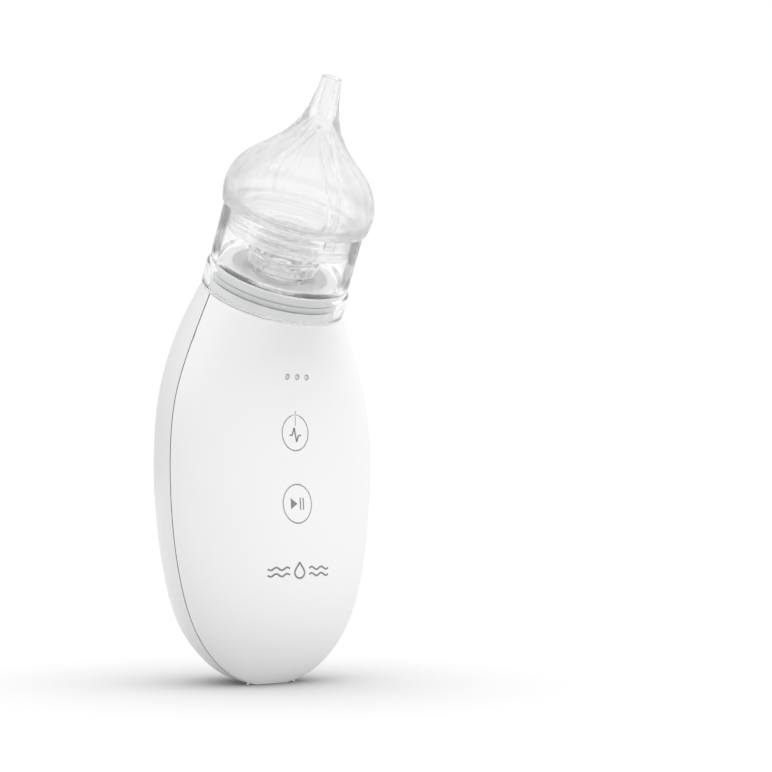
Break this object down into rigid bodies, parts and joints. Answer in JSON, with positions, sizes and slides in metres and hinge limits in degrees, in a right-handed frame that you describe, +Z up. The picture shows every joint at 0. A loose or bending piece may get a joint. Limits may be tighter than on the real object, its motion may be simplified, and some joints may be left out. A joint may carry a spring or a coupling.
{
  "type": "nasal aspirator",
  "caption": "Handheld battery nasal aspirator: egg-shaped two-shell handle, tilted clear collection cup, translucent silicone nozzle, two front keys and an inner vacuum pump.",
  "frame": {"origin": "centre of the flat oval sole that the handle stands on", "axes": "+Z up; -Y is the front with the keys, towards which the head leans; X is left and right"},
  "size_m": [0.0604, 0.0648, 0.1558],
  "materials": {
    "white_shell": "satin white moulded ABS",
    "key_cap": "satin white moulded ABS with a printed grey symbol",
    "clear_cup": "clear polished polycarbonate",
    "soft_tip": "translucent liquid silicone, satin",
    "grey_cap": "light grey moulded ABS",
    "baffle": "frosted clear polypropylene",
    "seal": "grey silicone",
    "silicone_tube": "clear silicone tube",
    "filter_felt": "white felt",
    "frame_plastic": "natural ABS",
    "circuit_board": "green solder mask",
    "chip_black": "black moulded epoxy",
    "switch_metal": "stamped steel switch cover",
    "plunger_black": "black plunger",
    "led": "yellow phosphor LED",
    "light_guide": "frosted acrylic",
    "motor_steel": "zinc plated steel",
    "motor_plastic": "black nylon",
    "magnet": "sintered ferrite",
    "copper": "enamelled copper winding on an iron core",
    "steel": "ground steel",
    "pump_plastic": "black nylon",
    "rubber_black": "black rubber",
    "screw_steel": "black nickel plated steel",
    "cell_wrap": "blue heat shrink over a lithium cell",
    "foam": "black foam",
    "lead_red": "insulated wire",
    "port_soft": "white soft elastomer"
  },
  "bodies": {
    "handle": {"front_cover": "white_shell", "rear_housing": "white_shell", "power_tact_switch": "switch_metal", "play_tact_switch": "switch_metal", "neck_cap": "grey_cap", "spigot_o_ring": "seal", "filter_disc": "filter_felt", "motor_can": "motor_steel", "motor_end_cap": "motor_plastic", "motor_magnet_ring": "magnet", "pump_casing": "pump_plastic", "rocker_plate": "pump_plastic", "diaphragm": "rubber_black", "valve_plate": "pump_plastic", "pump_cover": "pump_plastic", "pump_screws": "screw_steel", "pump_damper_sleeve": "rubber_black", "suction_tube": "silicone_tube", "inner_frame": "frame_plastic", "main_circuit_board": "circuit_board", "board_screws": "screw_steel", "board_components": "chip_black", "led_chips": "led", "led_light_guide": "light_guide", "battery_cell": "cell_wrap", "battery_foam_pads": "foam", "charging_board": "circuit_board", "charging_socket": "switch_metal", "motor_leads": "lead_red", "battery_leads": "lead_red", "charging_leads": "lead_red", "shell_screws": "screw_steel", "screw_hole_plugs": "port_soft"},
    "cup": {"collection_cup": "clear_cup"},
    "nozzle": {"nozzle_tip": "soft_tip"},
    "baffle": {"baffle_cap": "baffle"},
    "power_key": {"power_button": "key_cap", "power_switch_plunger": "plunger_black"},
    "play_key": {"play_button": "key_cap", "play_switch_plunger": "plunger_black"},
    "rotor": {"motor_shaft": "steel", "motor_armature": "copper", "crank_hub": "pump_plastic"},
    "port_flap": {"port_cover": "port_soft"}
  },
  "joints": [
    {"name": "cup_pull", "type": "slide", "parent": "handle", "child": "cup", "axis": [0, -0.4695, 0.8829], "range_m": [0, 0.01]},
    {"name": "nozzle_pull", "type": "slide", "parent": "cup", "child": "nozzle", "axis": [0, -0.4695, 0.8829], "range_m": [0, 0.012]},
    {"name": "baffle_lift", "type": "slide", "parent": "cup", "child": "baffle", "axis": [0, -0.4695, 0.8829], "range_m": [0, 0.006]},
    {"name": "power_press", "type": "slide", "parent": "handle", "child": "power_key", "axis": [0, 1, 0], "range_m": [0, 0.00035], "stiffness_N_per_m": 1500},
    {"name": "play_press", "type": "slide", "parent": "handle", "child": "play_key", "axis": [0, 1, 0], "range_m": [0, 0.00035], "stiffness_N_per_m": 1500},
    {"name": "rotor_spin", "type": "hinge", "parent": "handle", "child": "rotor", "pos_m": [0, 0.0066, 0.045], "axis": [0, 0, 1], "continuous": true},
    {"name": "port_flap_swing", "type": "hinge", "parent": "handle", "child": "port_flap", "pos_m": [0, 0.0241, 0.0194], "axis": [1, 0, 0], "range_deg": [0, 100]}
  ]
}
